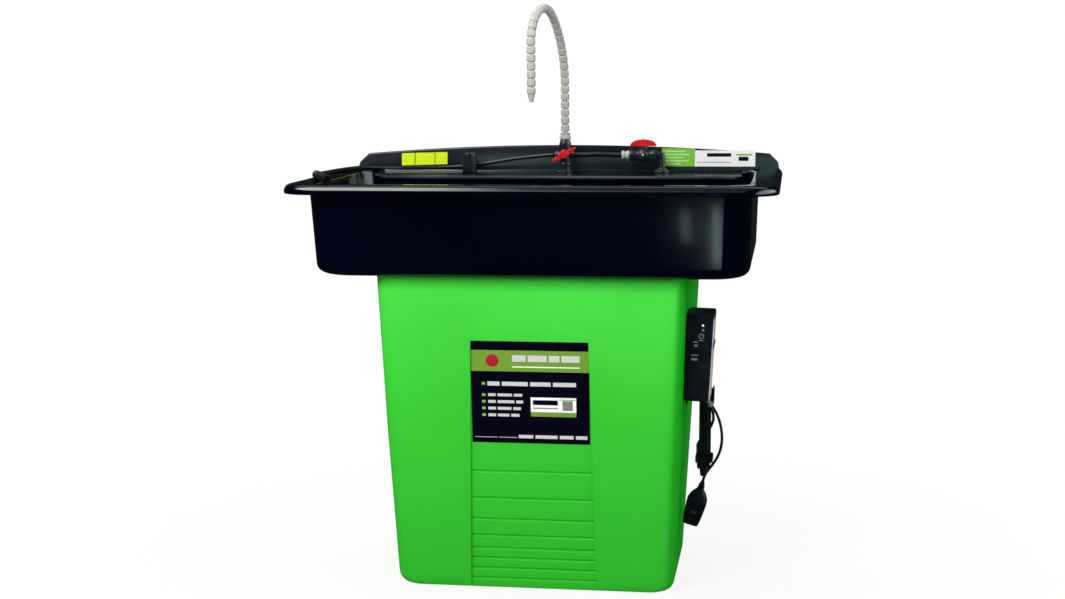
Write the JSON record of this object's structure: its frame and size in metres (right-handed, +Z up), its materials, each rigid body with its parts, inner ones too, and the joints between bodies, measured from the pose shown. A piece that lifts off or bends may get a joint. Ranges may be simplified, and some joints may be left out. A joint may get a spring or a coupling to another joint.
{
  "type": "parts washer",
  "caption": "Parts washer with a black moulded sink on a tapered green reservoir, a gooseneck hose, a flow-through brush, a ball valve and a side control box.",
  "frame": {"origin": "on the floor, under the middle of the sink's rim", "axes": "+X to the operator's right, +Y to the back with the splash, +Z up"},
  "size_m": [1.27, 0.89, 1.5474],
  "materials": {
    "black_moulding": "moulded, slightly glossy with a soft sheen",
    "green_moulding": "rotationally moulded, satin",
    "black_plastic": "moulded, satin",
    "red_plastic": "moulded, glossy",
    "grey_plastic": "moulded, satin",
    "black_rubber": "extruded, satin",
    "brush_plastic": "moulded, with nylon bristles",
    "felt": "needled filter felt",
    "steel": "brushed",
    "brass": "turned"
  },
  "bodies": {
    "washer": {"sink": "black_moulding", "tank": "green_moulding", "drain_fitting": "black_plastic", "drain_nut": "black_plastic", "pump_strainer": "black_plastic", "pump_housing": "black_plastic", "riser_hose": "black_rubber", "bulkhead_elbow": "black_plastic", "bulkhead_nut": "black_plastic", "ball_valve_body": "black_plastic", "hose_nipple": "grey_plastic", "supply_hose": "black_rubber", "faucet_post": "black_plastic", "faucet_nut": "black_plastic", "hose_connector": "grey_plastic", "hose_guide_post": "black_plastic", "guide_nut": "black_plastic", "brush_hose": "black_rubber", "control_box": "black_plastic", "control_cap": "black_plastic", "control_side_panel": "steel", "panel_band": "black_plastic", "cord_peg": "black_plastic", "cord_gland": "grey_plastic", "heater_body": "brass", "heater_element": "steel", "level_switch_body": "black_plastic", "float_pin": "steel", "pump_cable": "black_rubber", "cord_lead": "black_rubber", "cord_hank": "black_rubber", "cord_tail": "black_rubber", "cord_strap": "black_rubber", "plug_body": "black_plastic", "plug_blade_left": "brass", "plug_blade_right": "brass", "plug_ground_pin": "brass"},
    "floor": {"false_floor": "black_moulding"},
    "mat": {"filter_mat": "felt"},
    "impeller": {"pump_impeller": "black_plastic", "pump_shaft": "steel"},
    "valve": {"valve_handle": "red_plastic", "valve_ball": "brass", "handle_screw": "steel"},
    "diverter": {"diverter_plug": "black_plastic", "diverter_wing": "red_plastic"},
    "hose_1": {"hose_links_1": "grey_plastic"},
    "hose_2": {"hose_links_2": "grey_plastic"},
    "hose_3": {"hose_links_3": "grey_plastic"},
    "hose_4": {"hose_links_4": "grey_plastic"},
    "hose_5": {"hose_links_5": "grey_plastic"},
    "hose_6": {"hose_links_6": "grey_plastic", "hose_nozzle": "grey_plastic"},
    "brush": {"brush_handle": "brush_plastic", "brush_ferrule": "brush_plastic", "brush_bristles": "brush_plastic"},
    "float": {"level_switch_float": "black_plastic"},
    "reset": {"reset_button": "red_plastic"},
    "test": {"test_button": "grey_plastic"}
  },
  "joints": [
    {"name": "floor_lift", "type": "slide", "parent": "washer", "child": "floor", "axis": [0, 0, 1], "range_m": [0, 0.15]},
    {"name": "mat_lift", "type": "slide", "parent": "washer", "child": "mat", "axis": [0, 0, 1], "range_m": [0, 0.075]},
    {"name": "impeller_spin", "type": "hinge", "parent": "washer", "child": "impeller", "pos_m": [0.19, 0.06, 0.06], "axis": [0, 0, 1], "continuous": true},
    {"name": "valve_turn", "type": "hinge", "parent": "washer", "child": "valve", "pos_m": [0.235, 0.34, 1.13], "axis": [0, 0, 1], "range_deg": [0, 90]},
    {"name": "diverter_turn", "type": "hinge", "parent": "washer", "child": "diverter", "pos_m": [0.007, 0.34, 1.12], "axis": [0, -1, 0], "range_deg": [-27.6, 62.4]},
    {"name": "hose_swivel", "type": "hinge", "parent": "washer", "child": "hose_1", "pos_m": [0.007, 0.34, 1.1897], "axis": [0, 0, 1], "range_deg": [-120, 120]},
    {"name": "hose_bend_1", "type": "hinge", "parent": "hose_1", "child": "hose_2", "pos_m": [0.007, 0.34, 1.3253], "axis": [0.9703, -0.2419, 0], "range_deg": [-20, 10]},
    {"name": "hose_bend_2", "type": "hinge", "parent": "hose_2", "child": "hose_3", "pos_m": [-0.00002, 0.31184, 1.43362], "axis": [0.9703, -0.2419, 0], "range_deg": [-20, 10]},
    {"name": "hose_bend_3", "type": "hinge", "parent": "hose_3", "child": "hose_4", "pos_m": [-0.01746, 0.2419, 1.51953], "axis": [0.9703, -0.2419, 0], "range_deg": [-28, 2]},
    {"name": "hose_bend_4", "type": "hinge", "parent": "hose_4", "child": "hose_5", "pos_m": [-0.04341, 0.13783, 1.5214], "axis": [0.9703, -0.2419, 0], "range_deg": [-28, 2]},
    {"name": "hose_bend_5", "type": "hinge", "parent": "hose_5", "child": "hose_6", "pos_m": [-0.05478, 0.09221, 1.42499], "axis": [0.9703, -0.2419, 0], "range_deg": [-15, 15]},
    {"name": "brush_lift", "type": "slide", "parent": "washer", "child": "brush", "axis": [0, 0, 1], "range_m": [0, 0.1], "deforming": ["brush_hose"]},
    {"name": "float_swing", "type": "hinge", "parent": "washer", "child": "float", "pos_m": [0.3475, -0.185, 0.6456], "axis": [0, 1, 0], "range_deg": [-55, 0]},
    {"name": "reset_press", "type": "slide", "parent": "washer", "child": "reset", "axis": [0, 1, 0], "range_m": [0, 0.0015], "stiffness_N_per_m": 600, "springref_m": -0.001},
    {"name": "test_press", "type": "slide", "parent": "washer", "child": "test", "axis": [0, 1, 0], "range_m": [0, 0.0015], "stiffness_N_per_m": 600, "springref_m": -0.001}
  ],
  "couplings": [
    {"joint": "mat_lift", "follows": "floor_lift", "ratio": 0.5}
  ]
}
